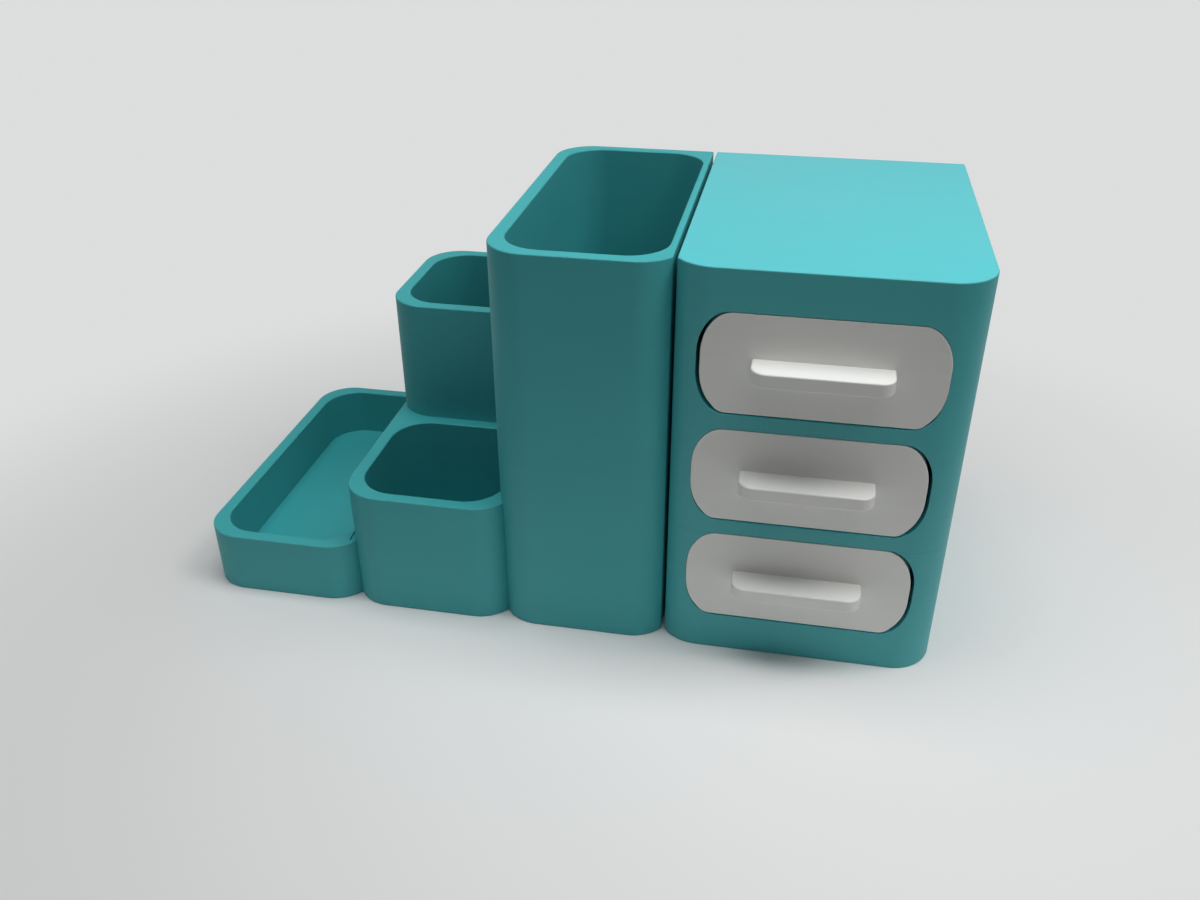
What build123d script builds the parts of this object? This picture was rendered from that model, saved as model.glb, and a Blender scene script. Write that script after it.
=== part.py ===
from build123d import *
import os

# Desk caddy with drawers: a stepped holder and a drawer housing, printed apart and
# joined by foam pads, with three drawers that slide out to the front.
# Sizes are millimetres. +X is right, +Y is back, +Z is up. The origin is on the desk,
# at the middle of the footprint with the drawer pulls counted in.

# Holder and housing together
depth = 105.0  # front to back
wall = 4.0  # round every well and between neighbours
corner_radius = 12.0  # outer upright edges
split_wall = 1.9  # what the cut between the two prints leaves of a shared wall
joint_gap = 1.1  # between the two cut faces, filled by the pads

# Wells of the holder
well_width = 44.4  # inside, the same in all three columns
well_radius = 11.5  # inner upright edges
well_floor = 3.0
tray_height = 20.0
short_cup_height = 40.0
mid_cup_height = 80.0
mid_cup_front = 52.5  # back from the front of the holder

# Drawer housing, from the desk upwards, then from left to right
bottom_margin = 12.0
opening_height = 29.2
shelf = 4.4
top_margin = 11.6
left_margin = 6.2
opening_width = 64.0
right_margin = 8.4
opening_corner_width = 8.3  # the corners are quarters of an upright oval
opening_end_flat = 4.6  # straight stretch between the two corners of an end
housing_back = 4.0

# Drawers
top_gap = 0.15  # a drawer sits a little high in its pocket
bottom_gap = 0.45
side_gap = 0.12  # on the side that the drawer leans to
side_play = 0.96  # further room on the other side
back_gap = 0.5
drawer_front = 3.0
drawer_wall = 2.4
drawer_floor = 2.4
tub_drop = 6.0  # from the top of the front down to the rim of the tub

# Pulls
pull_width = 36.0
pull_reach = 8.5
pull_thickness = 4.0
pull_radius = 4.0
tenon_width = 28.0
tenon_thickness = 2.4
tenon_gap = 0.1

# Joining pads
pad_size = 16.0
pad_inset = 14.0  # from the edges of the cut faces

# Drawers from the desk upwards, and those that lean to the right of their pocket
drawer_names = ("bottom", "middle", "top")
leaning_right = ("top",)

# Sizes that follow
drawer_count = len(drawer_names)
level_pitch = opening_height + shelf
housing_height = bottom_margin + drawer_count * level_pitch - shelf + top_margin
tall_cup_height = housing_height
block_width = well_width + 2 * wall
column_pitch = well_width + wall
cut_away = wall - split_wall
holder_width = 2 * column_pitch + block_width - cut_away
housing_width = left_margin + opening_width + right_margin
drawer_width = opening_width - 2 * side_gap - side_play
drawer_height = opening_height - top_gap - bottom_gap
opening_corner_height = (opening_height - opening_end_flat) / 2
drawer_corner_width = opening_corner_width - side_gap
drawer_corner_height = opening_corner_height - (top_gap + bottom_gap) / 2
pocket_depth = depth - housing_back
drawer_length = pocket_depth - back_gap

# Places that follow
overall_width = holder_width + joint_gap + housing_width
overall_depth = depth + pull_reach
tray_left = -overall_width / 2
cups_left = tray_left + column_pitch
tall_cup_left = cups_left + column_pitch
holder_right = tray_left + holder_width
housing_left = holder_right + joint_gap
housing_right = housing_left + housing_width
opening_middle = housing_left + left_margin + opening_width / 2
front = pull_reach - overall_depth / 2
back = front + depth
mid_front = front + mid_cup_front


def rectangle(left, right, near, far):
    """Sharp-cornered outline on the desk."""
    return Pos((left + right) / 2, (near + far) / 2) * Rectangle(right - left, far - near)


def rounded_rectangle(left, right, near, far, radius):
    """Outline on the desk with all four corners rounded."""
    return fillet(rectangle(left, right, near, far).vertices(), radius)


def oval_cornered(width, height, corner_width, corner_height):
    """Upright outline, seen from the front, whose corners are quarters of an oval."""
    corner_x = width / 2 - corner_width
    corner_z = height / 2 - corner_height
    corners = []
    for right, up, start in ((1, 1, 0), (-1, 1, 90), (-1, -1, 180), (1, -1, 270)):
        middle = (right * corner_x, up * corner_z)
        corners.append(EllipticalCenterArc(middle, corner_width, corner_height, start, arc_size=90))
    sides = [Line(corner @ 1, after @ 0) for corner, after in zip(corners, corners[1:] + corners[:1])]
    return Plane.XZ * make_face(corners + sides)


def block(left, near, height):
    """One column of the holder before it is hollowed."""
    return extrude(rounded_rectangle(left, left + block_width, near, back, corner_radius), height)


def tall_block():
    """Right column of the holder: square at the back right, cut flat on the right."""
    outline = rectangle(tall_cup_left, tall_cup_left + block_width, front, back)
    back_right_last = outline.vertices().sort_by(lambda corner: corner.X + corner.Y)
    outline = fillet(back_right_last[:-1], corner_radius)
    outline &= rectangle(tall_cup_left, holder_right, front, back)
    return extrude(outline, tall_cup_height)


def well(left, near, far, height):
    """Space inside one cup or the tray, open at the rim."""
    well_left = left + wall
    outline = rounded_rectangle(well_left, well_left + well_width, near + wall, far - wall, well_radius)
    return Pos(0, 0, well_floor) * extrude(outline, height - well_floor)


def tiered_holder():
    """Tray, short cup, mid cup and tall cup in one piece."""
    solid = block(tray_left, front, tray_height)
    solid += block(cups_left, front, short_cup_height)
    solid += block(cups_left, mid_front, mid_cup_height)
    solid += tall_block()
    solid -= well(tray_left, front, back, tray_height)
    solid -= well(cups_left, front, mid_front, short_cup_height)
    solid -= well(cups_left, mid_front, back, mid_cup_height)
    solid -= well(tall_cup_left, front, back, tall_cup_height)
    return solid


def opening_place(name):
    """Middle of a drawer opening, in the plane of the housing's front."""
    level = drawer_names.index(name)
    return Pos(opening_middle, front, bottom_margin + opening_height / 2 + level * level_pitch)


def drawer_housing():
    """Block with a pocket for each drawer, cut flat on the left, square at the back."""
    outline = rectangle(housing_left - cut_away, housing_right, front, back)
    outline = fillet(outline.vertices().group_by(Axis.Y)[0], corner_radius)
    outline &= rectangle(housing_left, housing_right, front, back)
    solid = extrude(outline, housing_height)
    mouth = oval_cornered(opening_width, opening_height, opening_corner_width, opening_corner_height)
    pocket = extrude(mouth, -pocket_depth)
    for name in drawer_names:
        solid -= opening_place(name) * pocket
    return solid


def drawer_place(name):
    """Middle of a drawer's front face, high in its opening and leaning to one side."""
    lean = side_play / 2 if name in leaning_right else -side_play / 2
    lift = (bottom_gap - top_gap) / 2
    return Pos(lean, 0, lift) * opening_place(name)


def drawer():
    """Tub with its pocket's outline and a full-height front that is slotted for the pull."""
    face = oval_cornered(drawer_width, drawer_height, drawer_corner_width, drawer_corner_height)
    solid = extrude(face, -drawer_length)
    hollow_width = drawer_width - 2 * drawer_wall
    hollow_height = 2 * drawer_height  # its upper corners stay clear above the drawer
    hollow = oval_cornered(hollow_width, hollow_height, drawer_corner_width - drawer_wall,
                           drawer_corner_height - drawer_wall)
    hollow_length = drawer_length - drawer_front - drawer_wall
    hollow_middle = drawer_floor + (hollow_height - drawer_height) / 2
    solid -= Pos(0, drawer_front, hollow_middle) * extrude(hollow, -hollow_length)
    tub_length = drawer_length - drawer_front
    above_rim = Box(drawer_width, tub_length, tub_drop)
    solid -= Pos(0, drawer_front + tub_length / 2, (drawer_height - tub_drop) / 2) * above_rim
    slot = Box(tenon_width + 2 * tenon_gap, drawer_front, tenon_thickness + 2 * tenon_gap)
    return solid - Pos(0, drawer_front / 2, 0) * slot


def pull():
    """Flat tab seated on a drawer's front face, with a tenon through it."""
    outline = Rectangle(pull_width, pull_reach)
    outline = fillet(outline.vertices().group_by(Axis.Y)[0], pull_radius)
    tab = Pos(0, -pull_reach / 2, -pull_thickness / 2) * extrude(outline, pull_thickness)
    tenon = Box(tenon_width, drawer_front, tenon_thickness)
    return tab + Pos(0, drawer_front / 2, 0) * tenon


def joining_pads():
    """Foam squares near the four corners of the cut faces."""
    pad = Box(joint_gap, pad_size, pad_size)
    gap_middle = (holder_right + housing_left) / 2
    pad_reach = pad_inset + pad_size / 2
    pads = []
    for y in (front + pad_reach, back - pad_reach):
        for z in (pad_reach, housing_height - pad_reach):
            pads.append(Pos(gap_middle, y, z) * pad)
    return Compound(children=pads)


os.makedirs("parts", exist_ok=True)
export_step(tiered_holder(), "parts/tiered_holder.step")
export_step(drawer_housing(), "parts/drawer_housing.step")
export_step(joining_pads(), "parts/joining_pads.step")
for name in drawer_names:
    export_step(drawer_place(name) * drawer(), f"parts/drawer_{name}.step")
    export_step(drawer_place(name) * pull(), f"parts/pull_{name}.step")
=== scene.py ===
import bpy
import bmesh
import math
from mathutils import Matrix, Vector


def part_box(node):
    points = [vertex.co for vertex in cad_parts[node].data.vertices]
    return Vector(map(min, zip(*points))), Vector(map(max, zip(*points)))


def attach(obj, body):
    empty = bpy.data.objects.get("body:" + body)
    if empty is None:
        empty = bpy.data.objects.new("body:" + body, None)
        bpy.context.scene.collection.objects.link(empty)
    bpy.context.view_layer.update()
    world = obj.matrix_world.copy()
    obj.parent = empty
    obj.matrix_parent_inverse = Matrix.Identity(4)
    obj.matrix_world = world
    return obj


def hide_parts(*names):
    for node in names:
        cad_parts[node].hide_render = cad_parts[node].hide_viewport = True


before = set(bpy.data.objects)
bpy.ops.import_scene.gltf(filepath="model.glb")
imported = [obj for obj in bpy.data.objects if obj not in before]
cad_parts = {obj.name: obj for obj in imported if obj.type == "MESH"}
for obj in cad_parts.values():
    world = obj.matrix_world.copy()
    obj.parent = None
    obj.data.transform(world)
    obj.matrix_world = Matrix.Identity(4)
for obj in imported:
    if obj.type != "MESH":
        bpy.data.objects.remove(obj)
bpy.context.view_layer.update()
mm = 0.001  # sizes below are written in millimetres, the scene is in metres

scene = bpy.context.scene
scene.view_settings.view_transform = "Standard"


# small helpers shared by every piece

meshing = {
    "weld": 0.002 * mm,  # vertices closer than this become one
    "sliver": 0.001 * mm,  # edges shorter than this are dissolved
    "softenAngle": math.radians(30),  # edges that turn more than this are rounded
    "smoothAngle": math.radians(40),  # edges that turn less than this are shaded smooth
}
quarterTurn = math.radians(90)


def addObject(bm, name):
    mesh = bpy.data.meshes.new(name)
    bm.to_mesh(mesh)
    bm.free()
    obj = bpy.data.objects.new(name, mesh)
    scene.collection.objects.link(obj)
    return obj


def dropObject(obj):
    mesh = obj.data
    bpy.data.objects.remove(obj)
    bpy.data.meshes.remove(mesh)


def liftOutline(bm, height):
    lifted = bmesh.ops.extrude_face_region(bm, geom=bm.faces[:])["geom"]
    topVerts = [item for item in lifted if isinstance(item, bmesh.types.BMVert)]
    bmesh.ops.translate(bm, vec=(0, 0, height), verts=topVerts)
    bmesh.ops.recalc_face_normals(bm, faces=bm.faces[:])
    return bm


def roundedBlock(left, right, near, far, low, high, radius, rounds="all", steps=20):
    bm = bmesh.new()
    places = {
        "frontLeft": (left, near),
        "frontRight": (right, near),
        "backRight": (right, far),
        "backLeft": (left, far),
    }
    corners = {name: bm.verts.new((x, y, low)) for name, (x, y) in places.items()}
    bm.faces.new(corners.values())
    picked = [vert for name, vert in corners.items() if rounds == "all" or name in rounds]
    if picked:
        bmesh.ops.bevel(bm, geom=picked, offset=radius, offset_type="OFFSET", affect="VERTICES",
                        segments=steps, profile=0.5, material=-1)
    return liftOutline(bm, high - low)


def standUp(bm):
    # plan Y becomes height, and the extrusion runs from -high to -low along Y
    turn = Matrix.Rotation(quarterTurn, 3, "X")
    bmesh.ops.rotate(bm, cent=(0, 0, 0), matrix=turn, verts=bm.verts[:])
    return bm


def uprightBlock(left, right, low, high, near, far, cornerWide, cornerHigh, rounds="all", steps=20):
    # corners are quarters of an upright oval: round ones, squeezed sideways
    squeeze = cornerWide / cornerHigh
    bm = roundedBlock(left / squeeze, right / squeeze, low, high, -far, -near, cornerHigh, rounds, steps)
    bmesh.ops.scale(bm, vec=(squeeze, 1, 1), verts=bm.verts[:])
    return standUp(bm)


def combine(body, tool, operation):
    bodyObj = addObject(body, "bodyShape")
    toolObj = addObject(tool, "toolShape")
    step = bodyObj.modifiers.new("combine", "BOOLEAN")
    step.operation = operation
    step.solver = "MANIFOLD"
    step.object = toolObj
    result = bmesh.new()
    result.from_object(bodyObj, bpy.context.evaluated_depsgraph_get())
    dropObject(bodyObj)
    dropObject(toolObj)
    bmesh.ops.remove_doubles(result, verts=result.verts[:], dist=meshing["weld"])
    return result


def trimFlat(bm, point, outward):
    everything = bm.verts[:] + bm.edges[:] + bm.faces[:]
    cut = bmesh.ops.bisect_plane(bm, geom=everything, dist=meshing["sliver"], plane_co=point,
                                 plane_no=outward, clear_outer=True)
    rim = [item for item in cut["geom_cut"] if isinstance(item, bmesh.types.BMEdge)]
    bmesh.ops.edgeloop_fill(bm, edges=rim)
    bmesh.ops.recalc_face_normals(bm, faces=bm.faces[:])
    return bm


def softenEdges(bm, width, steps=3):
    limit = meshing["softenAngle"]
    picked = [edge for edge in bm.edges if edge.is_convex and edge.calc_face_angle() > limit]
    bmesh.ops.bevel(bm, geom=picked, offset=width, offset_type="OFFSET", affect="EDGES", segments=steps,
                    profile=0.5, material=-1, clamp_overlap=False, loop_slide=True)
    return bm


def flareMouth(bm, outward, anchor, flare, beyond, turns=4):
    # widens a cutter towards its open end, so that it leaves a rounded edge there
    outward = Vector(outward)
    sideways = [axis for axis in range(3) if not outward[axis]]
    mouth = max(bm.faces, key=lambda face: face.calc_center_median().dot(outward))
    reach = {axis: max(abs(vert.co[axis] - anchor[axis]) for vert in mouth.verts) for axis in sideways}
    angles = [quarterTurn * turn / turns for turn in range(1, turns + 1)]
    steps = [(flare * math.sin(angle), flare * (1 - math.cos(angle))) for angle in angles]
    steps.append((flare + beyond, flare))
    rise, growth = 0.0, 0.0
    for newRise, newGrowth in steps:
        mouth = bmesh.ops.extrude_discrete_faces(bm, faces=[mouth])["faces"][0]
        bmesh.ops.translate(bm, vec=outward * (newRise - rise), verts=mouth.verts[:])
        factors = [1.0, 1.0, 1.0]
        for axis in sideways:
            factors[axis] = (reach[axis] + newGrowth) / (reach[axis] + growth)
        bmesh.ops.scale(bm, vec=factors, space=Matrix.Translation(-Vector(anchor)), verts=mouth.verts[:])
        rise, growth = newRise, newGrowth
    bmesh.ops.recalc_face_normals(bm, faces=bm.faces[:])
    return bm


def finishPiece(bm, name, material, body, node):
    bmesh.ops.dissolve_degenerate(bm, dist=meshing["sliver"], edges=bm.edges[:])
    for face in bm.faces:
        face.smooth = True
    for edge in bm.edges:
        edge.smooth = edge.is_manifold and edge.calc_face_angle() < meshing["smoothAngle"]
    loose = sum(not edge.is_manifold for edge in bm.edges)
    print(f"{name}: {len(bm.faces)} faces, {loose} open edges, {bm.calc_volume() / mm ** 3:.0f} mm3")
    piece = addObject(bm, name)
    piece.data.materials.append(material)
    shading = piece.modifiers.new("flatFaces", "WEIGHTED_NORMAL")
    shading.keep_sharp = True
    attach(piece, body)
    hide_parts(node)
    return piece


# materials: printed plastic shows level layer lines on walls and slanted raster on flat tops

noiseSpan = (0.3, 0.7)  # most of a noise pattern lies between these


def newMaterial(name):
    material = bpy.data.materials.new(name)
    material.use_nodes = True
    nodes = material.node_tree.nodes
    return material, nodes, material.node_tree.links, nodes["Principled BSDF"]


def stretchedNoise(nodes, links, source, scale, turn=0.0, detail=2.0):
    spread = nodes.new("ShaderNodeMapping")
    spread.inputs["Rotation"].default_value = (0, 0, turn)
    spread.inputs["Scale"].default_value = scale
    links.new(source, spread.inputs["Vector"])
    noise = nodes.new("ShaderNodeTexNoise")
    noise.inputs["Scale"].default_value = 1.0
    noise.inputs["Detail"].default_value = detail
    links.new(spread.outputs["Vector"], noise.inputs["Vector"])
    return noise.outputs["Fac"]


def mathNode(nodes, links, operation, first, second):
    node = nodes.new("ShaderNodeMath")
    node.operation = operation
    for socket, value in zip(node.inputs, (first, second)):
        if isinstance(value, (int, float)):
            socket.default_value = value
        else:
            links.new(value, socket)
    return node.outputs["Value"]


def weightedSum(nodes, links, first, firstShare, second, secondShare):
    firstPart = mathNode(nodes, links, "MULTIPLY", first, firstShare)
    secondPart = mathNode(nodes, links, "MULTIPLY", second, secondShare)
    return mathNode(nodes, links, "ADD", firstPart, secondPart)


def blendNode(nodes, links, kind, factor, first, second):
    node = nodes.new("ShaderNodeMix")
    node.data_type = kind
    links.new(factor, node.inputs[0])
    sockets = [socket for socket in node.inputs if socket.enabled]
    links.new(first, sockets[1])
    links.new(second, sockets[2])
    return [socket for socket in node.outputs if socket.enabled][0]


def rampNode(nodes, links, source, low, high):
    ramp = nodes.new("ShaderNodeValToRGB")
    for element, position, colour in zip(ramp.color_ramp.elements, noiseSpan, (low, high)):
        element.position = position
        element.color = (*colour, 1)
    links.new(source, ramp.inputs["Fac"])
    return ramp.outputs["Color"]


def rangeNode(nodes, links, source, fromLow, fromHigh, toLow, toHigh):
    span = nodes.new("ShaderNodeMapRange")
    span.inputs["From Min"].default_value = fromLow
    span.inputs["From Max"].default_value = fromHigh
    span.inputs["To Min"].default_value = toLow
    span.inputs["To Max"].default_value = toHigh
    links.new(source, span.inputs["Value"])
    return span.outputs["Result"]


def heightOf(nodes, links, vector):
    split = nodes.new("ShaderNodeSeparateXYZ")
    links.new(vector, split.inputs["Vector"])
    return split.outputs["Z"]


def bumpFrom(nodes, links, height, shader, size):
    bump = nodes.new("ShaderNodeBump")
    bump.inputs["Strength"].default_value = size["bumpStrength"]
    bump.inputs["Distance"].default_value = size["bumpDepth"]
    links.new(height, bump.inputs["Height"])
    links.new(bump.outputs["Normal"], shader.inputs["Normal"])


printLines = {
    "layer": 0.2 * mm,  # height of one printed layer
    "line": 0.42 * mm,  # width of one printed line on a flat top
    "lineTurn": math.radians(45),
    "bandHeight": 2.4 * mm,  # groups of layers that differ a little
    "perStep": 0.6,  # noise cells in one layer, line or band
    "layerDrift": 0.4,  # noise cells in a metre along a layer, band or line
    "bandDrift": 0.8,
    "lineDrift": 5,
    "patches": 28,  # soft blotches in a metre
    "layerShare": 0.5,  # layers and bands make up the walls
    "bandShare": 0.5,
    "lineShare": 0.4,  # lines and blotches make up the flat tops
    "patchShare": 0.6,
    "flatFacing": 0.8,  # faces turned up more than this are flat tops
    "bumpDepth": 0.03 * mm,
    "bumpStrength": 0.3,
}


def printedPlastic(name, look):
    size = printLines
    material, nodes, links, shader = newMaterial(name)
    coords = nodes.new("ShaderNodeTexCoord").outputs["Object"]
    normal = nodes.new("ShaderNodeNewGeometry").outputs["True Normal"]
    flat = mathNode(nodes, links, "GREATER_THAN", heightOf(nodes, links, normal), size["flatFacing"])

    layerScale = (size["layerDrift"], size["layerDrift"], size["perStep"] / size["layer"])
    bandScale = (size["bandDrift"], size["bandDrift"], size["perStep"] / size["bandHeight"])
    rasterScale = (size["lineDrift"], size["perStep"] / size["line"], size["lineDrift"])
    patchScale = (size["patches"], size["patches"], size["patches"])
    layers = stretchedNoise(nodes, links, coords, layerScale)
    bands = stretchedNoise(nodes, links, coords, bandScale, detail=3.0)
    raster = stretchedNoise(nodes, links, coords, rasterScale, size["lineTurn"])
    patches = stretchedNoise(nodes, links, coords, patchScale, detail=4.0)
    wallLines = weightedSum(nodes, links, layers, size["layerShare"], bands, size["bandShare"])
    topLines = weightedSum(nodes, links, raster, size["lineShare"], patches, size["patchShare"])

    wallTint = rampNode(nodes, links, wallLines, *look["wall"])
    topTint = rampNode(nodes, links, topLines, *look["top"])
    if "ring" in look:  # one layer stands out, where the roof over the lowest drawer was bridged
        ring = look["ring"]
        offset = mathNode(nodes, links, "SUBTRACT", heightOf(nodes, links, coords), ring["height"])
        away = mathNode(nodes, links, "ABSOLUTE", offset, 0)
        nearness = rangeNode(nodes, links, away, 0, ring["thick"] / 2, 1, 0)
        ringTint = rampNode(nodes, links, wallLines, *ring["tint"])
        wallTint = blendNode(nodes, links, "RGBA", nearness, wallTint, ringTint)
    # walls and flat tops take separate colours; in the teal looks their difference is painted light:
    # reflection of the floor on the walls, light and sheen on the housing top
    tint = blendNode(nodes, links, "RGBA", flat, wallTint, topTint)
    links.new(tint, shader.inputs["Base Color"])

    wallRough = rangeNode(nodes, links, patches, *noiseSpan, *look["wallRough"])
    topRough = rangeNode(nodes, links, patches, *noiseSpan, *look["topRough"])
    links.new(blendNode(nodes, links, "FLOAT", flat, wallRough, topRough), shader.inputs["Roughness"])
    shader.inputs["Specular IOR Level"].default_value = look["specular"]
    bumpFrom(nodes, links, blendNode(nodes, links, "FLOAT", flat, wallLines, topLines), shader, size)
    return material


def closedCellFoam(name, look):
    material, nodes, links, shader = newMaterial(name)
    coords = nodes.new("ShaderNodeTexCoord").outputs["Object"]
    cells = nodes.new("ShaderNodeTexVoronoi")
    cells.inputs["Scale"].default_value = look["cells"]
    links.new(coords, cells.inputs["Vector"])
    tint = nodes.new("ShaderNodeValToRGB")
    tint.color_ramp.elements[0].color = look["cellMiddle"]
    tint.color_ramp.elements[1].color = look["cellEdge"]
    links.new(cells.outputs["Distance"], tint.inputs["Fac"])
    links.new(tint.outputs["Color"], shader.inputs["Base Color"])
    shader.inputs["Roughness"].default_value = look["rough"]
    bumpFrom(nodes, links, cells.outputs["Distance"], shader, look)
    return material


holderLook = {
    # the walls are greyer than the flat tops: painted reflection of the bright floor on the walls
    "wall": ((0.049, 0.372, 0.394), (0.054, 0.398, 0.421)),  # darker and lighter layers
    "top": ((0.036, 0.380, 0.402), (0.040, 0.400, 0.422)),
    "wallRough": (0.50, 0.60),
    "topRough": (0.55, 0.65),
    "specular": 0.40,
}
housingLook = {
    # the walls are greyer than the flat top: painted reflection of the bright floor on the walls
    "wall": ((0.052, 0.385, 0.408), (0.057, 0.412, 0.436)),
    "top": ((0.053, 0.525, 0.572), (0.057, 0.551, 0.600)),  # painted light: the flat top is coloured lighter than the walls, standing in for the stronger light and sheen on this face
    "ring": {
        "height": 41.2 * mm,
        "thick": 0.35 * mm,
        "tint": ((0.040, 0.310, 0.330), (0.044, 0.330, 0.350)),
    },
    "wallRough": (0.45, 0.55),
    "topRough": (0.34, 0.42),
    "specular": 0.48,
}
whiteLook = {
    "wall": ((0.820, 0.824, 0.795), (0.845, 0.849, 0.820)),
    "top": ((0.822, 0.826, 0.803), (0.846, 0.850, 0.827)),
    "wallRough": (0.45, 0.58),
    "topRough": (0.42, 0.52),
    "specular": 0.40,
}
foamLook = {
    "cells": 2600,  # in a metre
    # the dark grey is painted shade: it keeps the gap between the two prints dark; the cell pattern is the
    # foam's own
    "cellMiddle": (0.075, 0.075, 0.075, 1),
    "cellEdge": (0.04, 0.04, 0.042, 1),
    "rough": 0.9,
    "bumpDepth": 0.1 * mm,
    "bumpStrength": 0.5,
}
tealHolderPrint = printedPlastic("tealHolderPrint", holderLook)
tealHousingPrint = printedPlastic("tealHousingPrint", housingLook)
whitePrint = printedPlastic("whitePrint", whiteLook)
padFoam = closedCellFoam("padFoam", foamLook)
print("materials ready")


# tiered holder: tray, short cup, mid cup and tall cup in one print

holder = {
    "wall": 4.0 * mm,
    "corner": 12.0 * mm,  # outer upright edges
    "cornerSteps": 22,
    "wellCorner": 11.5 * mm,
    "wellSteps": 18,
    "floor": 3.0 * mm,
    "tray": 20.0 * mm,  # rim heights
    "shortCup": 40.0 * mm,
    "midCup": 80.0 * mm,
    "midFront": 52.5 * mm,  # mid cup stands this far back from the front
    "cutAway": 2.1 * mm,  # taken off the shared wall where the two prints part
    "overcut": 1.0 * mm,  # wells are cut past their rims
    "edge": 0.4 * mm,  # rounding of rims and foot
    "voidDepth": 0.6 * mm,  # unfilled spot where the tray rim meets the short cup
    # in mm from the front left of the cups
    "voidPoints": ((-0.35, 5.52), (0.54, 5.15), (3.0, 6.25), (3.0, 9.9), (-0.6, 9.9)),
}


def rimVoid(size, left, near):
    bm = bmesh.new()
    low = size["tray"] - size["voidDepth"]
    corners = [bm.verts.new((left + x * mm, near + y * mm, low)) for x, y in size["voidPoints"]]
    bm.faces.new(corners)
    return liftOutline(bm, size["voidDepth"] + size["overcut"])


def tieredHolder(size):
    low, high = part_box("tiered_holder")
    wall, corner = size["wall"], size["corner"]
    pitch = (high.x - low.x + size["cutAway"] - wall) / 3  # from one column to the next
    trayLeft, cupsLeft, tallLeft = [low.x + pitch * count for count in range(3)]
    front, back, top = low.y, high.y, high.z
    midFront = front + size["midFront"]

    def column(left, near, height):
        right = left + pitch + wall
        block = roundedBlock(left, right, near, back, 0, height, corner, steps=size["cornerSteps"])
        return softenEdges(block, size["edge"])

    def hollow(shape, left, near, far, rim):
        sides = (left + wall, left + pitch, near + wall, far - wall)
        flareStart = rim - size["edge"]
        well = roundedBlock(*sides, size["floor"], flareStart, size["wellCorner"], steps=size["wellSteps"])
        middle = ((sides[0] + sides[1]) / 2, (sides[2] + sides[3]) / 2, rim)
        flareMouth(well, (0, 0, 1), middle, size["edge"], size["overcut"])
        return combine(shape, well, "DIFFERENCE")

    tray = hollow(column(trayLeft, front, size["tray"]), trayLeft, front, back, size["tray"])
    tray = combine(tray, rimVoid(size, cupsLeft, front), "DIFFERENCE")
    shortCup = column(cupsLeft, front, size["shortCup"])
    midCup = column(cupsLeft, midFront, size["midCup"])
    cups = combine(shortCup, midCup, "UNION")
    cups = hollow(cups, cupsLeft, front, midFront, size["shortCup"])
    cups = hollow(cups, cupsLeft, midFront, back, size["midCup"])
    tall = roundedBlock(tallLeft, tallLeft + pitch + wall, front, back, 0, top, corner,
                        rounds=("frontLeft", "frontRight", "backLeft"), steps=size["cornerSteps"])
    softenEdges(trimFlat(tall, (high.x, 0, 0), (1, 0, 0)), size["edge"])
    tall = hollow(tall, tallLeft, front, back, top)
    shape = combine(combine(cups, tray, "UNION"), tall, "UNION")
    return finishPiece(shape, "tieredHolder", tealHolderPrint, "caddy", "tiered_holder")


tieredHolder(holder)


# drawer housing: block with a pocket for each drawer

housing = {
    "corner": 12.0 * mm,  # upright edges at the front
    "cornerSteps": 22,
    "cutAway": 2.1 * mm,
    "leftMargin": 6.2 * mm,
    "rightMargin": 8.4 * mm,
    "bottomMargin": 12.0 * mm,
    "pocketHigh": 29.2 * mm,
    "shelf": 4.4 * mm,
    "pocketCornerWide": 8.3 * mm,
    "pocketCornerHigh": 12.3 * mm,
    "backWall": 4.0 * mm,
    "edge": 0.4 * mm,
    "lip": 0.2 * mm,  # rounding of the pocket mouths
    "overcut": 1.0 * mm,
}
drawerNames = ("bottom", "middle", "top")


def drawerHousing(size):
    low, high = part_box("drawer_housing")
    shape = roundedBlock(low.x - size["cutAway"], high.x, low.y, high.y, 0, high.z, size["corner"],
                         rounds=("frontLeft", "frontRight"), steps=size["cornerSteps"])
    softenEdges(trimFlat(shape, (low.x, 0, 0), (-1, 0, 0)), size["edge"])
    left, right = low.x + size["leftMargin"], high.x - size["rightMargin"]
    for level in range(len(drawerNames)):
        bottom = size["bottomMargin"] + level * (size["pocketHigh"] + size["shelf"])
        middle = bottom + size["pocketHigh"] / 2
        pocket = uprightBlock(left, right, bottom, bottom + size["pocketHigh"],
                              low.y + size["lip"], high.y - size["backWall"],
                              size["pocketCornerWide"], size["pocketCornerHigh"])
        flareMouth(pocket, (0, -1, 0), ((left + right) / 2, low.y, middle), size["lip"], size["overcut"])
        shape = combine(shape, pocket, "DIFFERENCE")
    return finishPiece(shape, "drawerHousing", tealHousingPrint, "caddy", "drawer_housing")


drawerHousing(housing)


# drawers: tubs with a full-height front, slotted for the pull

drawer = {
    "cornerWide": 8.18 * mm,
    "cornerHigh": 12.0 * mm,
    "front": 3.0 * mm,
    "wall": 2.4 * mm,
    "floor": 2.4 * mm,
    "hollowSteps": 16,  # round each lower corner of the hollow
    "rimDrop": 6.0 * mm,  # tub rim below the top of the front
    "lap": 1.0 * mm,  # tub runs this far into the front
    "slotWide": 28.2 * mm,
    "slotHigh": 2.6 * mm,
    "edge": 0.3 * mm,
    "overcut": 1.0 * mm,
    "sag": 0.33 * mm,  # lower corners droop where their overhang starts
    "sagTurn": math.radians(40),
}


def sagCorners(bm, low, high, size):
    middle = (low + high) / 2
    straight = (high.x - low.x) / 2 - size["cornerWide"]
    for vert in bm.verts:
        outward = (abs(vert.co.x - middle.x) - straight) / size["cornerWide"]
        downward = (low.z + size["cornerHigh"] - vert.co.z) / size["cornerHigh"]
        turn = math.atan2(outward, downward)
        if downward > 0 and 0 < turn < size["sagTurn"]:
            vert.co.z -= size["sag"] * math.sin(math.pi * turn / size["sagTurn"]) ** 2
    return bm


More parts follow.
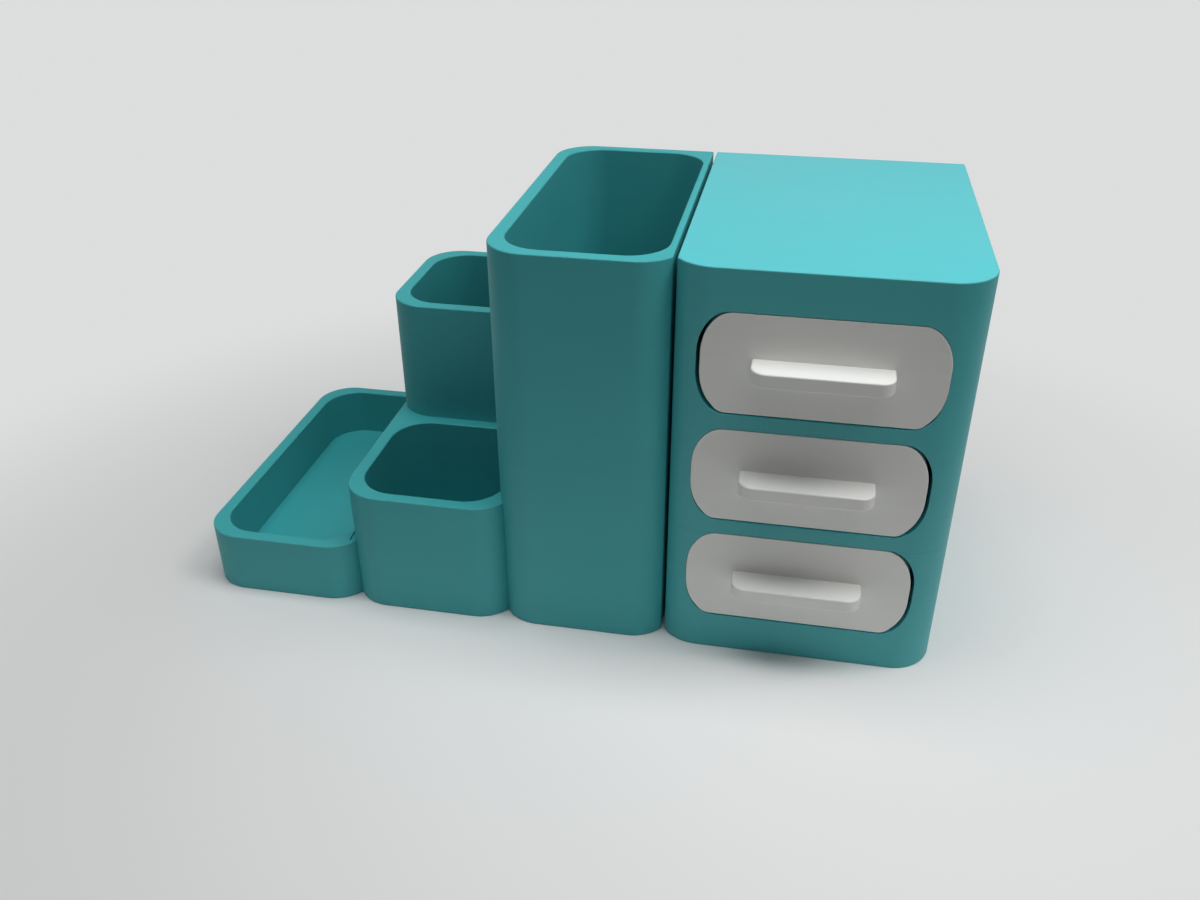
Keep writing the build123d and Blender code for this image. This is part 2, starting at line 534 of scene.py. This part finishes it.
def drawerTub(name, size):
    low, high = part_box("drawer_" + name)
    middle = (low + high) / 2
    inside = low.y + size["front"]
    rim = high.z - size["rimDrop"]
    cornerWide, cornerHigh, wall = size["cornerWide"], size["cornerHigh"], size["wall"]
    plate = uprightBlock(low.x, high.x, low.z, high.z, low.y, inside, cornerWide, cornerHigh)
    softenEdges(sagCorners(plate, low, high, size), size["edge"])

    tub = uprightBlock(low.x, high.x, low.z, high.z, inside - size["lap"], high.y, cornerWide, cornerHigh)
    sagCorners(tub, low, high, size)
    softenEdges(trimFlat(tub, (0, 0, rim), (0, 0, 1)), size["edge"])
    hollow = uprightBlock(low.x + wall, high.x - wall, low.z + size["floor"], rim - size["edge"],
                          inside, high.y - wall, cornerWide - wall, cornerHigh - wall,
                          rounds=("frontLeft", "frontRight"), steps=size["hollowSteps"])
    flareMouth(hollow, (0, 0, 1), (middle.x, inside, rim), size["edge"], size["overcut"])
    tub = combine(tub, hollow, "DIFFERENCE")
    shape = combine(plate, tub, "UNION")
    slot = roundedBlock(middle.x - size["slotWide"] / 2, middle.x + size["slotWide"] / 2,
                        low.y - size["overcut"], inside + size["overcut"],
                        middle.z - size["slotHigh"] / 2, middle.z + size["slotHigh"] / 2, 0, rounds=())
    shape = combine(shape, slot, "DIFFERENCE")
    return finishPiece(shape, "drawer" + name.capitalize(), whitePrint,
                       name + "_drawer", "drawer_" + name)


for name in drawerNames:
    drawerTub(name, drawer)


# pulls: flat tabs seated on the drawer fronts, with a tenon through the slot

pull = {
    "corner": 4.0 * mm,
    "cornerSteps": 12,
    "tenonWide": 28.0 * mm,
    "tenonHigh": 2.4 * mm,
    "rootInset": 0.1 * mm,  # starts the tenon's outline on the back of the tab
    "edge": 0.5 * mm,
    "edgeSteps": 4,
    "seatMargin": 0.1 * mm,  # edges this near the drawer front stay square
}


def drawerPull(name, size):
    low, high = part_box("pull_" + name)
    middle = (low + high) / 2
    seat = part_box("drawer_" + name)[0].y
    tab = roundedBlock(low.x, high.x, low.y, seat, low.z, high.z, size["corner"],
                       rounds=("frontLeft", "frontRight"), steps=size["cornerSteps"])
    ahead = [edge for edge in tab.edges if min(vert.co.y for vert in edge.verts) < seat - size["seatMargin"]]
    tabEdges = [edge for edge in ahead if edge.calc_face_angle() > meshing["softenAngle"]]
    bmesh.ops.bevel(tab, geom=tabEdges, offset=size["edge"], offset_type="OFFSET", affect="EDGES",
                    segments=size["edgeSteps"], profile=0.5, material=-1)
    root = max(tab.faces, key=lambda face: face.calc_center_median().y)
    bmesh.ops.inset_individual(tab, faces=[root], thickness=size["rootInset"])
    rootWide = max(vert.co.x for vert in root.verts) - min(vert.co.x for vert in root.verts)
    rootHigh = max(vert.co.z for vert in root.verts) - min(vert.co.z for vert in root.verts)
    shrink = (size["tenonWide"] / rootWide, 1, size["tenonHigh"] / rootHigh)
    bmesh.ops.scale(tab, vec=shrink, space=Matrix.Translation(-middle), verts=root.verts[:])
    tip = bmesh.ops.extrude_discrete_faces(tab, faces=[root])["faces"][0]
    bmesh.ops.translate(tab, vec=(0, high.y - seat, 0), verts=tip.verts[:])
    bmesh.ops.recalc_face_normals(tab, faces=tab.faces[:])
    return finishPiece(tab, "pull" + name.capitalize(), whitePrint,
                       name + "_drawer", "pull_" + name)


for name in drawerNames:
    drawerPull(name, pull)


# joining pads: foam squares squeezed between the two prints

pads = {
    "size": 16.0 * mm,
    "corner": 2.0 * mm,
    "cornerSteps": 6,
    "bulge": 0.35 * mm,  # foam swells out between the plates
    "bulgeCuts": 3,
}


def joiningPads(size):
    low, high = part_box("joining_pads")
    half = size["size"] / 2
    thick = high.x - low.x
    turn = Matrix.Rotation(quarterTurn, 3, "Y")
    allPads = bmesh.new()
    for y in (low.y + half, high.y - half):
        for z in (low.z + half, high.z - half):
            pad = roundedBlock(-half, half, -half, half, 0, thick, size["corner"], steps=size["cornerSteps"])
            sides = [edge for edge in pad.edges if abs(edge.verts[0].co.z - edge.verts[1].co.z) > thick / 2]
            bmesh.ops.subdivide_edges(pad, edges=sides, cuts=size["bulgeCuts"], use_grid_fill=True)
            for vert in pad.verts:
                swell = math.sin(math.pi * vert.co.z / thick) * size["bulge"] / half
                vert.co.x *= 1 + swell
                vert.co.y *= 1 + swell
            bmesh.ops.rotate(pad, cent=(0, 0, 0), matrix=turn, verts=pad.verts[:])
            bmesh.ops.translate(pad, vec=(low.x, y, z), verts=pad.verts[:])
            bmesh.ops.recalc_face_normals(pad, faces=pad.faces[:])
            part = bpy.data.meshes.new("padPart")
            pad.to_mesh(part)
            pad.free()
            allPads.from_mesh(part)
            bpy.data.meshes.remove(part)
    piece = finishPiece(allPads, "joiningPads", padFoam, "caddy", "joining_pads")
    return piece


joiningPads(pads)


# plain floor, soft light and the photograph's viewpoint

stage = {
    "floorHalf": 4.0,
    "floorColour": (0.82, 0.825, 0.825, 1),
    "floorRough": 0.7,
    "fadeCentre": (0.02, -0.07, 0.0),
    "fadeNear": 0.12,  # floor turns into even backdrop between these distances
    "fadeFar": 0.31,
    "backdrop": (0.72, 0.725, 0.725, 1),
}


def seenByCamera(nodes, links):
    # 1 for what the camera sees, also by gloss or through glass, and 0 for light that falls on the object
    path = nodes.new("ShaderNodeLightPath")
    seen = mathNode(nodes, links, "MAXIMUM", path.outputs["Is Camera Ray"], path.outputs["Is Glossy Ray"])
    return mathNode(nodes, links, "MAXIMUM", seen, path.outputs["Is Transmission Ray"])


def plainFloor(size):
    bm = bmesh.new()
    bmesh.ops.create_grid(bm, x_segments=1, y_segments=1, size=size["floorHalf"])
    floor = addObject(bm, "floor")
    material, nodes, links, shader = newMaterial("floorPaper")
    coords = nodes.new("ShaderNodeTexCoord").outputs["Object"]
    shader.inputs["Base Color"].default_value = size["floorColour"]
    shader.inputs["Roughness"].default_value = size["floorRough"]
    glow = nodes.new("ShaderNodeEmission")
    glow.inputs["Color"].default_value = size["backdrop"]
    links.new(seenByCamera(nodes, links), glow.inputs["Strength"])
    distance = nodes.new("ShaderNodeVectorMath")
    distance.operation = "DISTANCE"
    distance.inputs[1].default_value = size["fadeCentre"]
    links.new(coords, distance.inputs[0])
    fade = nodes.new("ShaderNodeMapRange")
    fade.interpolation_type = "SMOOTHSTEP"
    fade.inputs["From Min"].default_value = size["fadeNear"]
    fade.inputs["From Max"].default_value = size["fadeFar"]
    links.new(distance.outputs["Value"], fade.inputs["Value"])
    blend = nodes.new("ShaderNodeMixShader")
    links.new(fade.outputs["Result"], blend.inputs["Fac"])
    links.new(shader.outputs["BSDF"], blend.inputs[1])
    links.new(glow.outputs["Emission"], blend.inputs[2])
    links.new(blend.outputs["Shader"], nodes["Material Output"].inputs["Surface"])
    floor.data.materials.append(material)
    return floor


def softWorld(ambient, backdrop):
    world = bpy.data.worlds.new("softRoom")
    scene.world = world
    world.use_nodes = True
    nodes = world.node_tree.nodes
    links = world.node_tree.links
    air = nodes["Background"]
    air.inputs["Color"].default_value = (1, 1, 1, 1)
    air.inputs["Strength"].default_value = ambient
    back = nodes.new("ShaderNodeBackground")
    back.inputs["Color"].default_value = backdrop
    blend = nodes.new("ShaderNodeMixShader")
    links.new(seenByCamera(nodes, links), blend.inputs["Fac"])
    links.new(air.outputs["Background"], blend.inputs[1])
    links.new(back.outputs["Background"], blend.inputs[2])
    links.new(blend.outputs["Shader"], nodes["World Output"].inputs["Surface"])


light = {
    "ambient": 0.11,
    "spread": math.radians(90),  # grids keep the light near the object
}
overheadBox = {
    "place": (0.10, -0.06, 0.60),
    "wide": 0.66,
    "deep": 0.28,
    "power": 0.75,
    "tilt": 0.0,
}
sideBox = {
    "place": (0.42, -0.04, 0.62),
    "wide": 0.30,
    "deep": 0.30,
    "power": 0.33,
    "tilt": math.radians(36),  # leans in from the right
}


def softbox(name, size):
    lamp = bpy.data.lights.new(name, "AREA")
    lamp.shape = "RECTANGLE"
    lamp.size = size["wide"]
    lamp.size_y = size["deep"]
    lamp.energy = size["power"]
    lamp.spread = light["spread"]
    lampObj = bpy.data.objects.new(name, lamp)
    lampObj.location = size["place"]
    lampObj.rotation_euler = (0, size["tilt"], 0)
    scene.collection.objects.link(lampObj)


view = {
    "place": (65.927 * mm, -303.525 * mm, 217.092 * mm),
    "turn": (59.6216, 0.1391, 11.0211),  # degrees, fitted to the object's own straight edges
    "lens": 32.757,
    "sensor": 36.0,
    "nearest": 0.01,
}


def photoCamera(size):
    data = bpy.data.cameras.new("photoCamera")
    data.sensor_fit = "HORIZONTAL"
    data.sensor_width = size["sensor"]
    data.lens = size["lens"]
    data.clip_start = size["nearest"]
    camera = bpy.data.objects.new("photoCamera", data)
    camera.location = size["place"]
    camera.rotation_euler = [math.radians(angle) for angle in size["turn"]]
    scene.collection.objects.link(camera)
    scene.camera = camera


plainFloor(stage)
softWorld(light["ambient"], stage["backdrop"])
softbox("overheadBox", overheadBox)
softbox("sideBox", sideBox)
photoCamera(view)
print("floor, light and camera placed")
